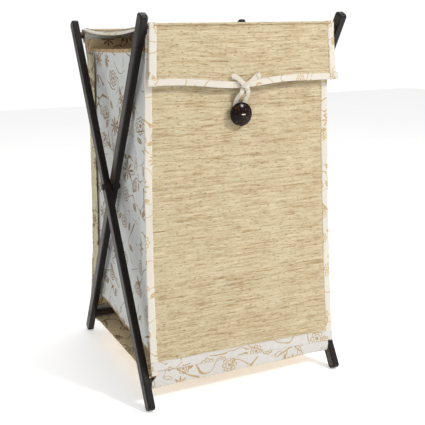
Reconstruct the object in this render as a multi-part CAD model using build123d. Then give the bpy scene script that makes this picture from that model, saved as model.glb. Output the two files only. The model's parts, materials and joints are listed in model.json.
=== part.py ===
from build123d import *
import os
from math import cos, radians, sin

# Folding X-frame laundry basket: two identical wooden frames crossed at one pivot line, and a
# cloth-lined woven bag that hangs on their top rails, with a lid sheet, a front flap and a button.
# Millimetres, +Z up, front towards -Y, origin on the floor at the middle of the footprint.

# ---- wooden frames ----
OUTER_WIDTH = 420.0      # outer face to outer face of the outer legs
LEG_T = 13.6             # leg thickness, along X
LEG_W = 20.0             # leg width, square to its length
LEG_TILT = 28.79         # lean of each leg from upright, in degrees
LEG_UP = 360.6           # pivot to top end, along the leg
LEG_DOWN = 418.1         # pivot to foot, along the leg
LEG_END_R = 6.5          # rounding of the leg ends
LEG_EDGE_R = 2.5         # rounding of the long edges
FOOT_FLAT = 0.4          # depth of the flat worn on each foot
LEG_GAP = 1.0            # room for the washer between the two legs of a side
RAIL_R = 6.5             # round rails
TOP_RAIL_Z = 656.7
BOTTOM_RAIL_Z = 44.0

# ---- fasteners ----
BOLT_R = 3.0
RUNNING_GAP = 0.05       # radial clearance of the pivot bolt
FACE_GAP = 0.2           # side clearance at the pivot
BOLT_HEAD_R = 6.5
BOLT_HEAD_H = 3.2
NUT_R = 6.3              # across the corners
NUT_H = 5.0
SCREW_R = 2.0
SCREW_LEN = 30.0         # length of the screw inside the rail
SCREW_HEAD_R = 3.8
SCREW_HEAD_H = 2.5
PLUG_R = 4.0
COUNTERBORE = 6.0        # depth of the plugged hole over each screw

# ---- bag ----
BAG_HALF = 181.0         # half width of the hanging panels
LINING_T = 0.8
STRAW_T = 2.2
BINDING_W = 14.0
BINDING_EXTRA = 0.5      # how far a binding stands proud of the straw
SLEEVE_IN = 6.9
SLEEVE_OUT = 8.5
PANEL_TOP_Z = 647.7
PANEL_LOW_Z = 56.0
HEM_TOP_Z = 79.0         # lower edge of the straw mat
SKIRT_T = 1.2
SKIRT_TOP_Z = 158.0
SKIRT_LOW_Z = 35.8
PANEL_SLOPE = 0.0474    # how far the panels move outwards per mm of drop
SIDE_X = 174.9           # outer face of the side panels
SIDE_T = 1.4
SIDE_LOW_Z = 82.0
SIDE_TOP_Z = 610.0
SIDE_HEM_TOP_Z = 622.0
SIDE_HEM_T = 2.4

# ---- lid and flap ----
LID_LOW_Z = 665.7
LID_REAR_Y = 167.6
LID_FRONT_Y = -170.7
LID_REAR_HALF = 180.5
FLAP_REAR_Y = -174.7
FLAP_TOP_Z = 663.7
FLAP_LOW_Z = 566.0
FLAP_LEFT = -181.0
FLAP_RIGHT = 191.0

# ---- closure ----
BUTTON_X = -10.0
BUTTON_Z = 512.0
BUTTON_BACK_Y = -177.4
BUTTON_R = 20.8
BUTTON_RIM = 3.5
BUTTON_DOME = 6.2
HOLE_OFFSET = 2.2
HOLE_R = 1.2
THREAD_HALF = 0.8        # half the width of the wound thread
SHANK_R = 2.2
TIE_X = -4.0
TIE_Z = 561.0
LOOP_LOW_Z = 502.0
LOOP_LOW_Y = -170.9
LOOP_TILT = 6.6
LOOP_TAPE = 4.5          # width of one strand
LOOP_T = 1.6

# ---- worked out from the above ----
TILT = radians(LEG_TILT)
PIVOT_Z = (LEG_W / 2 - LEG_END_R) * sin(TILT) + (LEG_DOWN - LEG_END_R) * cos(TILT)
PIVOT_Z = PIVOT_Z + LEG_END_R - FOOT_FLAT
OUTER_IN = OUTER_WIDTH / 2 - LEG_T           # inner face of an outer leg
INNER_OUT = OUTER_IN - LEG_GAP               # outer face of an inner leg
INNER_IN = INNER_OUT - LEG_T                 # inner face of an inner leg
TOP_RAIL_Y = -(TOP_RAIL_Z - PIVOT_Z) * sin(TILT) / cos(TILT)
BOTTOM_RAIL_Y = (PIVOT_Z - BOTTOM_RAIL_Z) * sin(TILT) / cos(TILT)
SKIRT_Y = -BOTTOM_RAIL_Y - RAIL_R - 0.4      # inner face of the skirt at the rail's height

nodes = {}


def half_turn(solid):
    """The same piece on the opposite side: turned by 180 degrees about the vertical."""
    return Rot(0, 0, 180) * solid


def rod(radius, x0, x1, y=0.0, z=0.0):
    """A cylinder along X from x0 to x1."""
    return Pos((x0 + x1) / 2, y, z) * Rot(0, 90, 0) * Cylinder(radius, abs(x1 - x0))


def block(x0, x1, y0, y1, z0, z1):
    """A box between two corners."""
    return Pos((x0 + x1) / 2, (y0 + y1) / 2, (z0 + z1) / 2) * Box(x1 - x0, y1 - y0, z1 - z0)


def hanging_slab(x0, x1, z0, z1, y_at, thickness):
    """A slab between heights z0 and z1 that hangs on the line y_at(z), its thickness outwards."""
    outline = Polyline(
        (x0, y_at(z0), z0),
        (x0, y_at(z1), z1),
        (x0, y_at(z1) - thickness, z1),
        (x0, y_at(z0) - thickness, z0),
        close=True,
    )
    return extrude(make_face(outline), amount=x1 - x0, dir=(1, 0, 0))


def plan_slab(points, z0, z1):
    """A flat slab with the plan outline given by points, from height z0 to z1."""
    outline = Polyline(*[(x, y, z0) for x, y in points], close=True)
    return extrude(make_face(outline), amount=z1 - z0, dir=(0, 0, 1))


def panel_y(z):
    """Inner face of the front panel's lining at height z."""
    return TOP_RAIL_Y - (PANEL_TOP_Z - z) * PANEL_SLOPE


def skirt_y(z):
    """Inner face of the front skirt at height z."""
    return SKIRT_Y - (BOTTOM_RAIL_Z - z) * PANEL_SLOPE


# ---------------------------------------------------------------- wooden frames


def leg(inner_face, outward):
    """A leg of the first frame. outward is -1 on the left and 1 on the right."""
    length = LEG_UP + LEG_DOWN
    bar = Pos(0, 0, (LEG_UP - LEG_DOWN) / 2) * Box(LEG_T, LEG_W, length)
    ends = bar.edges().filter_by(Axis.X)
    bar = fillet(ends, LEG_END_R)
    bar = fillet(bar.edges(), LEG_EDGE_R)
    middle = outward * (inner_face + LEG_T / 2)
    bar = Pos(middle, 0, PIVOT_Z) * Rot(LEG_TILT, 0, 0) * bar
    bar = bar - block(-300, 300, -300, 300, -20, 0)
    inside = outward * (inner_face - 1)
    outside = outward * (inner_face + LEG_T + 1)
    bar = bar - rod(BOLT_R + RUNNING_GAP, inside, outside, 0, PIVOT_Z)
    for y, z in rail_centres():
        bar = bar - rod(SCREW_R + RUNNING_GAP, inside, outside, y, z)
        floor = outward * (inner_face + LEG_T - COUNTERBORE)
        bar = bar - rod(PLUG_R + RUNNING_GAP, floor, outside, y, z)
    return bar


def rail_centres():
    """Where the rails of the first frame meet its legs: top front, bottom rear."""
    return [(TOP_RAIL_Y, TOP_RAIL_Z), (BOTTOM_RAIL_Y, BOTTOM_RAIL_Z)]


def rail(y, z):
    """A round rail between the two legs of the first frame, with a pilot hole at each end."""
    bar = rod(RAIL_R, -INNER_IN, OUTER_IN, y, z)
    bar = bar - rod(SCREW_R + RUNNING_GAP, -INNER_IN - 1, -INNER_IN + SCREW_LEN + 1, y, z)
    return bar - rod(SCREW_R + RUNNING_GAP, OUTER_IN - SCREW_LEN - 1, OUTER_IN + 1, y, z)


def rail_screw(inner_face, outward, y, z):
    """A countersunk screw through a leg into the end of a rail."""
    seat = inner_face + LEG_T - COUNTERBORE
    shank = rod(SCREW_R, outward * (inner_face - SCREW_LEN), outward * seat, y, z)
    return shank + rod(SCREW_HEAD_R, outward * seat, outward * (seat + SCREW_HEAD_H), y, z)


def rail_plug(inner_face, outward, y, z):
    """The wooden plug over a screw head, a little proud of the leg's face."""
    base = inner_face + LEG_T - COUNTERBORE + SCREW_HEAD_H
    plug = rod(PLUG_R, outward * base, outward * (inner_face + LEG_T + 0.4), y, z)
    face = plug.faces().sort_by(Axis.X)[0 if outward < 0 else -1]
    return chamfer(face.edges(), 0.4)


def frame_screws():
    """The four screws and the four plugs of the first frame."""
    places = [(INNER_IN, -1), (OUTER_IN, 1)]
    screws = [rail_screw(x, s, y, z) for x, s in places for y, z in rail_centres()]
    plugs = [rail_plug(x, s, y, z) for x, s in places for y, z in rail_centres()]
    return screws, plugs


def pivot_bolt(outward):
    """Domed pivot bolt: head on the outer leg, shank through both legs to the nut."""
    outer = OUTER_WIDTH / 2 + FACE_GAP
    tip = INNER_IN - NUT_H - 0.8
    shank = rod(BOLT_R, outward * tip, outward * outer, 0, PIVOT_Z)
    head = rod(BOLT_HEAD_R, outward * outer, outward * (outer + BOLT_HEAD_H), 0, PIVOT_Z)
    face = head.faces().sort_by(Axis.X)[0 if outward < 0 else -1]
    return shank + fillet(face.edges(), 2.4)


def pivot_washer(outward):
    """Thin washer between the two legs of a side."""
    x0 = INNER_OUT + 0.1
    ring = rod(8.0, outward * x0, outward * (x0 + LEG_GAP - 0.2), 0, PIVOT_Z)
    hole = rod(BOLT_R + RUNNING_GAP, outward * (x0 - 1), outward * (x0 + 2), 0, PIVOT_Z)
    return ring - hole


def pivot_nut(outward):
    """Six-sided nut on the inner leg."""
    base = Plane(origin=(outward * (INNER_IN - FACE_GAP), 0, PIVOT_Z), z_dir=(-outward, 0, 0))
    nut = extrude(base * RegularPolygon(NUT_R, 6), amount=NUT_H - FACE_GAP)
    hole = rod(BOLT_R + RUNNING_GAP, outward * (INNER_IN - 10), outward * (INNER_IN + 2), 0, PIVOT_Z)
    return nut - hole


# ---------------------------------------------------------------- hanging bag


def sleeve():
    """Cloth pocket round the top front rail."""
    tube = rod(SLEEVE_OUT, -BAG_HALF, BAG_HALF, TOP_RAIL_Y, TOP_RAIL_Z)
    return tube - rod(SLEEVE_IN, -BAG_HALF - 1, BAG_HALF + 1, TOP_RAIL_Y, TOP_RAIL_Z)


def front_lining():
    """Cotton lining behind the straw mat."""
    return hanging_slab(-BAG_HALF, BAG_HALF, PANEL_LOW_Z, PANEL_TOP_Z, panel_y, LINING_T)


def front_mat():
    """Woven straw mat of the front panel, between its two bindings."""
    edge = BAG_HALF - BINDING_W
    return hanging_slab(-edge, edge, HEM_TOP_Z, PANEL_TOP_Z, mat_y, STRAW_T)


def mat_y(z):
    """Inner face of the straw mat at height z."""
    return panel_y(z) - LINING_T


def front_binding(x0):
    """Printed cotton binding down one edge of the front panel."""
    return hanging_slab(
        x0, x0 + BINDING_W, HEM_TOP_Z, PANEL_TOP_Z, mat_y, STRAW_T + BINDING_EXTRA
    )


def front_hem():
    """Printed cotton band across the foot of the front panel."""
    return hanging_slab(
        -BAG_HALF, BAG_HALF, PANEL_LOW_Z, HEM_TOP_Z, mat_y, STRAW_T + BINDING_EXTRA
    )


def front_skirt():
    """Cotton turned up in front of the bottom front rail, running up behind the panel."""
    return hanging_slab(-BAG_HALF, BAG_HALF, SKIRT_LOW_Z, SKIRT_TOP_Z, skirt_y, SKIRT_T)


def side_panel(x0, z0, z1, thickness):
    """Cotton side wall, from skirt line to skirt line, between heights z0 and z1."""
    low = -skirt_y(z0) - 0.4
    high = -skirt_y(z1) - 0.4
    outline = Polyline((x0, -low, z0), (x0, low, z0), (x0, high, z1), (x0, -high, z1), close=True)
    return extrude(make_face(outline), amount=thickness, dir=(1, 0, 0))


def base_panel():
    """Cotton base of the bag, drawn under the two bottom rails."""
    reach = -skirt_y(SKIRT_LOW_Z) - 0.4
    return block(-BAG_HALF, BAG_HALF, -reach, reach, SKIRT_LOW_Z, SKIRT_LOW_Z + SKIRT_T)


# ---------------------------------------------------------------- lid and flap


def lid_lining():
    """Cotton lining under the lid."""
    points = [
        (-LID_REAR_HALF, LID_REAR_Y),
        (LID_REAR_HALF, LID_REAR_Y),
        (FLAP_RIGHT, LID_FRONT_Y),
        (FLAP_LEFT, LID_FRONT_Y),
    ]
    return plan_slab(points, LID_LOW_Z, LID_LOW_Z + LINING_T)


def lid_mat():
    """Woven straw mat of the lid."""
    points = [
        (-LID_REAR_HALF + BINDING_W, LID_REAR_Y),
        (LID_REAR_HALF - BINDING_W, LID_REAR_Y),
        (FLAP_RIGHT - BINDING_W, LID_FRONT_Y),
        (FLAP_LEFT + BINDING_W, LID_FRONT_Y),
    ]
    return plan_slab(points, LID_LOW_Z + LINING_T, LID_LOW_Z + LINING_T + STRAW_T)


def lid_binding(rear_x, front_x):
    """Printed binding along one side of the lid, from its rear edge to its front edge."""
    points = [
        (rear_x, LID_REAR_Y),
        (rear_x + BINDING_W, LID_REAR_Y),
        (front_x + BINDING_W, LID_FRONT_Y),
        (front_x, LID_FRONT_Y),
    ]
    top = LID_LOW_Z + LINING_T + STRAW_T + BINDING_EXTRA
    return plan_slab(points, LID_LOW_Z + LINING_T, top)


def flap_lining():
    """Cotton lining behind the flap."""
    y1 = FLAP_REAR_Y
    return block(FLAP_LEFT, FLAP_RIGHT, y1 - LINING_T, y1, FLAP_LOW_Z, FLAP_TOP_Z)


def flap_mat():
    """Woven straw mat of the flap, between its bindings."""
    y1 = FLAP_REAR_Y - LINING_T
    x0 = FLAP_LEFT + BINDING_W
    x1 = FLAP_RIGHT - BINDING_W
    return block(x0, x1, y1 - STRAW_T, y1, FLAP_LOW_Z + BINDING_W, FLAP_TOP_Z)


def flap_binding(x0, x1, z0, z1):
    """One strip of the flap's binding."""
    y1 = FLAP_REAR_Y - LINING_T
    return block(x0, x1, y1 - STRAW_T - BINDING_EXTRA, y1, z0, z1)


# ---------------------------------------------------------------- closure


def button():
    """Domed coconut-shell button with two holes."""
    ball_r = (BUTTON_R ** 2 + BUTTON_DOME ** 2) / (2 * BUTTON_DOME)
    ball_h = BUTTON_RIM + BUTTON_DOME - ball_r
    half_way = (BUTTON_R / 2, ball_h + (ball_r ** 2 - (BUTTON_R / 2) ** 2) ** 0.5)
    top = (0, BUTTON_RIM + BUTTON_DOME)
    edge = Polyline(top, (0, 0), (BUTTON_R, 0), (BUTTON_R, BUTTON_RIM))
    dome = ThreePointArc((BUTTON_R, BUTTON_RIM), half_way, top)
    whole = revolve(Plane.XZ * make_face(edge + dome), Axis.Z)
    for x in (-HOLE_OFFSET, HOLE_OFFSET):
        whole = whole - Pos(x, 0, 5) * Cylinder(HOLE_R, 30)
    return Pos(BUTTON_X, BUTTON_BACK_Y, BUTTON_Z) * Rot(90, 0, 0) * whole


def button_stitch():
    """Thread through the button's two holes, with its bridge across the front."""
    front = BUTTON_BACK_Y - BUTTON_RIM - BUTTON_DOME
    t = THREAD_HALF
    legs = [
        block(x - t, x + t, front - 0.3, BUTTON_BACK_Y, BUTTON_Z - t, BUTTON_Z + t)
        for x in (BUTTON_X - HOLE_OFFSET, BUTTON_X + HOLE_OFFSET)
    ]
    x0 = BUTTON_X - HOLE_OFFSET - t
    x1 = BUTTON_X + HOLE_OFFSET + t
    bridge = block(x0, x1, front - 1.5, front - 0.1, BUTTON_Z - t, BUTTON_Z + t)
    return legs[0] + legs[1] + bridge


def button_shank():
    """Wound thread between the front panel and the button."""
    y0 = mat_y(BUTTON_Z) - STRAW_T - 0.1
    length = y0 - BUTTON_BACK_Y - 0.2
    return Pos(BUTTON_X, y0 - length / 2, BUTTON_Z) * Rot(90, 0, 0) * Cylinder(SHANK_R, length)


def closure_loop():
    """Loop of cotton tape from the flap's lower edge to behind the button."""
    height = TIE_Z - 1.0 - LOOP_LOW_Z
    width = 2 * SHANK_R + 2 * LOOP_TAPE + 5.0
    outer = SlotOverall(height, width, rotation=90)
    inner = SlotOverall(height - 2 * LOOP_TAPE, width - 2 * LOOP_TAPE, rotation=90)
    ring = extrude(outer - inner, amount=LOOP_T / 2, both=True)
    flat = Rot(90, 0, 0) * Pos(0, height / 2, 0) * ring
    return Pos(BUTTON_X + 2.0, LOOP_LOW_Y, LOOP_LOW_Z) * Rot(LOOP_TILT, 0, 0) * flat


def closure_tie():
    """Knot of the tape in front of the flap's lower edge, with its two short tails."""
    face = FLAP_REAR_Y - LINING_T - STRAW_T - BINDING_EXTRA
    knot = Pos(TIE_X, face - 4.0, TIE_Z + 10.0) * Box(13.0, 7.4, 10.0)
    knot = fillet(knot.edges(), 3.0)
    for lean in (48, -42):
        tail = Pos(0, 0, 15.0) * Box(9.0, 1.6, 30.0)
        place = Pos(TIE_X, face - 2.0, TIE_Z + 10.0)
        knot = knot + place * Rot(0, -lean, 0) * tail
    return knot


# ---------------------------------------------------------------- assembly


def add_frames():
    nodes["leg_a_left"] = leg(INNER_IN, -1)
    nodes["leg_a_right"] = leg(OUTER_IN, 1)
    nodes["top_rail_front"] = rail(*rail_centres()[0])
    nodes["bottom_rail_rear"] = rail(*rail_centres()[1])
    screws, plugs = frame_screws()
    nodes["rail_screws_a"] = Compound(children=screws)
    nodes["rail_plugs_a"] = Compound(children=plugs)
    nodes["leg_b_right"] = half_turn(nodes["leg_a_left"])
    nodes["leg_b_left"] = half_turn(nodes["leg_a_right"])
    nodes["top_rail_rear"] = half_turn(nodes["top_rail_front"])
    nodes["bottom_rail_front"] = half_turn(nodes["bottom_rail_rear"])
    nodes["rail_screws_b"] = Compound(children=[half_turn(s) for s in screws])
    nodes["rail_plugs_b"] = Compound(children=[half_turn(p) for p in plugs])
    for side, outward in (("left", -1), ("right", 1)):
        nodes["pivot_bolt_" + side] = pivot_bolt(outward)
        nodes["pivot_washer_" + side] = pivot_washer(outward)
        nodes["pivot_nut_" + side] = pivot_nut(outward)


def add_bag():
    right = BAG_HALF - BINDING_W
    front = {
        "sleeve": sleeve(),
        "lining": front_lining(),
        "mat": front_mat(),
        "binding_left": front_binding(-BAG_HALF),
        "binding_right": front_binding(right),
        "hem": front_hem(),
        "skirt": front_skirt(),
    }
    swap = {"binding_left": "binding_right", "binding_right": "binding_left"}
    for name, solid in front.items():
        nodes["front_" + name] = solid
        nodes["back_" + swap.get(name, name)] = half_turn(solid)
    for side, x0, hem_x0 in (
        ("left", -SIDE_X, -SIDE_X - 0.5),
        ("right", SIDE_X - SIDE_T, SIDE_X - SIDE_HEM_T + 0.5),
    ):
        nodes["side_panel_" + side] = side_panel(x0, SIDE_LOW_Z, SIDE_TOP_Z, SIDE_T)
        nodes["side_hem_" + side] = side_panel(hem_x0, SIDE_TOP_Z, SIDE_HEM_TOP_Z, SIDE_HEM_T)
    nodes["base_panel"] = base_panel()


def add_lid_and_flap():
    nodes["lid_lining"] = lid_lining()
    nodes["lid_mat"] = lid_mat()
    nodes["lid_binding_left"] = lid_binding(-LID_REAR_HALF, FLAP_LEFT)
    nodes["lid_binding_right"] = lid_binding(LID_REAR_HALF - BINDING_W, FLAP_RIGHT - BINDING_W)
    low = FLAP_LOW_Z
    top = FLAP_TOP_Z
    above = low + BINDING_W
    nodes["flap_lining"] = flap_lining()
    nodes["flap_mat"] = flap_mat()
    nodes["flap_binding_left"] = flap_binding(FLAP_LEFT, FLAP_LEFT + BINDING_W, above, top)
    nodes["flap_binding_right"] = flap_binding(FLAP_RIGHT - BINDING_W, FLAP_RIGHT, above, top)
    nodes["flap_binding_bottom"] = flap_binding(FLAP_LEFT, FLAP_RIGHT, low, above)


def add_closure():
    nodes["button"] = button()
    nodes["button_stitch"] = button_stitch()
    nodes["button_shank"] = button_shank()
    nodes["closure_loop"] = closure_loop()
    nodes["closure_tie"] = closure_tie()


add_frames()
add_bag()
add_lid_and_flap()
add_closure()

os.makedirs("parts", exist_ok=True)
for name, solid in nodes.items():
    export_step(solid, "parts/" + name + ".step")
print(len(nodes), "nodes; pivot height", round(PIVOT_Z, 2), "top rail y", round(TOP_RAIL_Y, 2),
      "bottom rail y", round(BOTTOM_RAIL_Y, 2))
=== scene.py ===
import json
import math
import bpy
import numpy as np
from mathutils import Matrix, Vector


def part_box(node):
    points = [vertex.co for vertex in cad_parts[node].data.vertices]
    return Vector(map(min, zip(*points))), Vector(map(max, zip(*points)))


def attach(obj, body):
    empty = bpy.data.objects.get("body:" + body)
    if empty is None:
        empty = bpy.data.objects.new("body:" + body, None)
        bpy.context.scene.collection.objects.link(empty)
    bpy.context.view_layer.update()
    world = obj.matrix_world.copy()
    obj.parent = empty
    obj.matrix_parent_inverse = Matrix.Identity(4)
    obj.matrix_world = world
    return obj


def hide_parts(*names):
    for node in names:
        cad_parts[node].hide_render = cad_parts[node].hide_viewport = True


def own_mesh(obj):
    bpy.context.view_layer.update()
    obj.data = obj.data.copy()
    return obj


# Folding laundry basket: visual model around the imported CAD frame. Metres, +Z up, front towards -Y.

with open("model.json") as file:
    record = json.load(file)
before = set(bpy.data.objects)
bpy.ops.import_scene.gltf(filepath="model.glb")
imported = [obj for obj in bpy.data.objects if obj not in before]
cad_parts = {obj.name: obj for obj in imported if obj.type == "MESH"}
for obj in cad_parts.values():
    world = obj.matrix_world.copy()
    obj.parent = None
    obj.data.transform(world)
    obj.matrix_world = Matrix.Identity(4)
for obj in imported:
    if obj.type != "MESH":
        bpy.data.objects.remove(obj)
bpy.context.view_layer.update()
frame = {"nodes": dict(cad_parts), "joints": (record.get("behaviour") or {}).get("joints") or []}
NODES = frame["nodes"]
rng = np.random.default_rng(21)

# ---- places read from the CAD model
RAIL_LOW, RAIL_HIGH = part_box("top_rail_front")
TOP_Y = (RAIL_LOW.y + RAIL_HIGH.y) / 2
TOP_Z = (RAIL_LOW.z + RAIL_HIGH.z) / 2
BASE_RAIL_LOW, BASE_RAIL_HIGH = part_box("bottom_rail_front")
LOW_Y = (BASE_RAIL_LOW.y + BASE_RAIL_HIGH.y) / 2
LOW_Z = (BASE_RAIL_LOW.z + BASE_RAIL_HIGH.z) / 2
LINE_LOW, LINE_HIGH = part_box("front_lining")
PANEL_TOP = LINE_HIGH.z
PANEL_LOW = LINE_LOW.z
MAT_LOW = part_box("front_mat")[0].z
LINING_T = 0.0008
SLOPE = (abs(LINE_LOW.y) - LINING_T - abs(TOP_Y)) / (PANEL_TOP - PANEL_LOW)
STRAW_T = 0.0022
LID_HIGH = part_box("lid_mat")[1]
FLAP_LOW, FLAP_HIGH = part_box("flap_mat")
BUTTON_A, BUTTON_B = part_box("button")
BUTTON = (BUTTON_A + BUTTON_B) / 2
HINGE = {j["name"]: Vector(j["pos_m"]) for j in frame["joints"] if j["type"] == "hinge"}
REAR_HINGE = HINGE["lid_lift"]
FRONT_HINGE = HINGE["flap_lift"]

BIND_W = 0.0135
BIND_HALF_T = 0.0019
BIND_AROUND, BIND_SQUARENESS = 22, 4.5
MAT_INSET = BIND_W * 0.6
STITCH_INSET = BIND_W / 2 - 0.0022
LINING_CLOTH_T = 0.0007
PRINTED_CLOTH_T = 0.0011
MAT_COLUMNS = 78
LID_RISE = 0.0006
HALF_TURN = np.array([-1.0, -1.0, 1.0])


def panel_y(z):
    """Inner face of the front panel's lining at height z."""
    return TOP_Y - (PANEL_TOP - z) * SLOPE


# ---- mesh helpers
def grid_faces(nu, nv, flip=False):
    i = np.arange(nu - 1)[:, None]
    j = np.arange(nv - 1)[None, :]
    a = i * nv + j
    quads = np.stack([a, a + nv, a + nv + 1, a + 1], -1).reshape(-1, 4)
    return quads[:, ::-1] if flip else quads


def build(name, verts, faces, material, uv=None, tone=None, sharp=70):
    mesh = bpy.data.meshes.new(name)
    mesh.from_pydata([tuple(v) for v in np.asarray(verts, float)], [], [tuple(int(i) for i in f) for f in faces])
    mesh.update()
    mesh.polygons.foreach_set("use_smooth", [True] * len(mesh.polygons))
    if uv is not None:
        layer = mesh.uv_layers.new(name="cloth")
        index = np.zeros(len(mesh.loops), np.int32)
        mesh.loops.foreach_get("vertex_index", index)
        layer.data.foreach_set("uv", np.asarray(uv, np.float32)[index].ravel())
    if tone is not None:
        layer = mesh.attributes.new("tone", "FLOAT", "POINT")
        layer.data.foreach_set("value", np.asarray(tone, np.float32).ravel())
    mesh.set_sharp_from_angle(angle=math.radians(sharp))
    mesh.materials.append(material)
    obj = bpy.data.objects.new(name, mesh)
    bpy.context.scene.collection.objects.link(obj)
    return obj


def normals_of(P):
    n = np.cross(np.gradient(P, axis=0), np.gradient(P, axis=1))
    return n / np.maximum(np.linalg.norm(n, axis=2, keepdims=True), 1e-12)


def arc_uv(P):
    """Distances along both directions of a grid, as the cloth would measure flat."""
    du = np.linalg.norm(np.diff(P, axis=0), axis=2)
    dv = np.linalg.norm(np.diff(P, axis=1), axis=2)
    u = np.zeros(P.shape[:2])
    v = np.zeros(P.shape[:2])
    u[1:] = np.cumsum(du, axis=0)
    v[:, 1:] = np.cumsum(dv, axis=1)
    return np.stack([u, v], -1)


def rim_faces(nu, nv, offset):
    loop = [(i, 0) for i in range(nu)] + [(nu - 1, j) for j in range(1, nv)]
    loop += [(i, nv - 1) for i in range(nu - 2, -1, -1)] + [(0, j) for j in range(nv - 2, 0, -1)]
    ids = np.array([i * nv + j for i, j in loop])
    nxt = np.roll(ids, -1)
    return np.stack([nxt, ids, ids + offset, nxt + offset], -1)


def sheet(name, P, thick, material, shift=(0.0, 0.0)):
    """A closed sheet: P is the outer face, its normals are d/du x d/dv."""
    nu, nv = P.shape[:2]
    back = P - normals_of(P) * thick
    verts = np.concatenate([P.reshape(-1, 3), back.reshape(-1, 3)])
    faces = np.concatenate([grid_faces(nu, nv), grid_faces(nu, nv, True) + nu * nv, rim_faces(nu, nv, nu * nv)])
    uv = arc_uv(P).reshape(-1, 2) + np.array(shift)
    return build(name, verts, faces, material, np.concatenate([uv, uv]))


def loft(name, centre, across, out, half_w, half_t, material, around=18, power=3.6, shift=(0.0, 0.0)):
    """A soft flat band swept along centre; across and out are unit directions of its section."""
    n = len(centre)
    angle = np.linspace(0, 2 * math.pi, around, endpoint=False)
    ca = np.sign(np.cos(angle)) * np.abs(np.cos(angle)) ** (2 / power)
    sa = np.sign(np.sin(angle)) * np.abs(np.sin(angle)) ** (2 / power)
    half_w = np.broadcast_to(half_w, n)
    half_t = np.broadcast_to(half_t, n)
    ring = centre[:, None] + across[:, None] * (ca[None, :, None] * half_w[:, None, None])
    ring = ring + out[:, None] * (sa[None, :, None] * half_t[:, None, None])
    verts = np.concatenate([ring.reshape(-1, 3), centre[:1], centre[-1:]])
    i = np.arange(n - 1)[:, None]
    k = np.arange(around)[None, :]
    a = i * around + k
    b = i * around + (k + 1) % around
    faces = np.stack([a, b, b + around, a + around], -1).reshape(-1, 4).tolist()
    first, last = n * around, n * around + 1
    faces += [(first, (q + 1) % around, q) for q in range(around)]
    base = (n - 1) * around
    faces += [(last, base + q, base + (q + 1) % around) for q in range(around)]
    along = np.concatenate([[0], np.cumsum(np.linalg.norm(np.diff(centre, axis=0), axis=1))])
    width = ca * np.mean(half_w)
    uv = np.stack(np.broadcast_arrays(width[None, :] + shift[0], along[:, None] + shift[1]), -1).reshape(-1, 2)
    uv = np.concatenate([uv, [[shift[0], shift[1]], [shift[0], along[-1] + shift[1]]]])
    direction = np.cross(across[0], out[0]) @ (centre[1] - centre[0])
    if direction < 0:
        faces = [tuple(reversed(f)) for f in faces]
    return build(name, verts, faces, material, uv, sharp=60)


def unit(v):
    v = np.asarray(v, float)
    return v / np.maximum(np.linalg.norm(v, axis=-1, keepdims=True), 1e-12)


def same_for(path, direction):
    return np.broadcast_to(np.array(direction, float), path.shape)


def grid_of(a, b):
    return np.meshgrid(a, b, indexing="ij")


def smooth_path(points, count):
    """Catmull-Rom curve through the points, evenly sampled."""
    p = np.asarray(points, float)
    p = np.concatenate([[2 * p[0] - p[1]], p, [2 * p[-1] - p[-2]]])
    out = []
    for k in range(1, len(p) - 2):
        t = np.linspace(0, 1, 24, endpoint=False)[:, None]
        a, b, c, d = p[k - 1], p[k], p[k + 1], p[k + 2]
        bend = (2 * a - 5 * b + 4 * c - d) * t ** 2
        out.append(0.5 * (2 * b + (c - a) * t + bend + (3 * b - a - 3 * c + d) * t ** 3))
    out = np.concatenate(out + [p[-2:-1]])
    length = np.concatenate([[0], np.cumsum(np.linalg.norm(np.diff(out, axis=0), axis=1))])
    want = np.linspace(0, length[-1], count)
    return np.stack([np.interp(want, length, out[:, k]) for k in range(3)], -1)


def stitch_row(name, path, out, material, spacing=0.0045, size=0.0028, radius=0.0003):
    """Separate thread stitches along a path, each a small rounded bar."""
    length = np.concatenate([[0], np.cumsum(np.linalg.norm(np.diff(path, axis=0), axis=1))])
    count = max(2, int(length[-1] / spacing))
    mids = (np.arange(count) + 0.5) * length[-1] / count
    at = lambda s: np.stack([np.interp(s, length, path[:, k]) for k in range(3)], -1)
    verts, faces = [], []
    sides = 6
    turn = np.linspace(0, 2 * math.pi, sides, endpoint=False)
    out = np.broadcast_to(out, path.shape)
    for m in mids:
        c = at(m)
        along = unit(at(m + size / 2) - at(m - size / 2))
        up = unit([np.interp(m, length, out[:, k]) for k in range(3)])
        side = unit(np.cross(along, up))
        base = len(verts)
        for s, r, lift in ((-0.5, 0.35, -0.6), (-0.25, 1.0, 0.2), (0.25, 1.0, 0.2), (0.5, 0.35, -0.6)):
            ring_c = c + along * (s * size) + up * (radius * lift)
            verts += [ring_c + radius * r * (math.cos(q) * side + math.sin(q) * up) for q in turn]
        for ring in range(3):
            for q in range(sides):
                a = base + ring * sides + q
                b = base + ring * sides + (q + 1) % sides
                faces.append((a, b, b + sides, a + sides))
        faces.append(tuple(base + q for q in reversed(range(sides))))
        faces.append(tuple(base + 3 * sides + q for q in range(sides)))
    return build(name, verts, faces, material)


def wander(rows, knots, count, spread):
    """Smooth random curves, one for each row."""
    value = rng.normal(0, spread, (rows, knots))
    x = np.linspace(0, knots - 1.001, count)
    k = x.astype(int)
    t = x - k
    t = t * t * (3 - 2 * t)
    return value[:, k] * (1 - t) + value[:, k + 1] * t


STRAND = 0.0021


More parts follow.
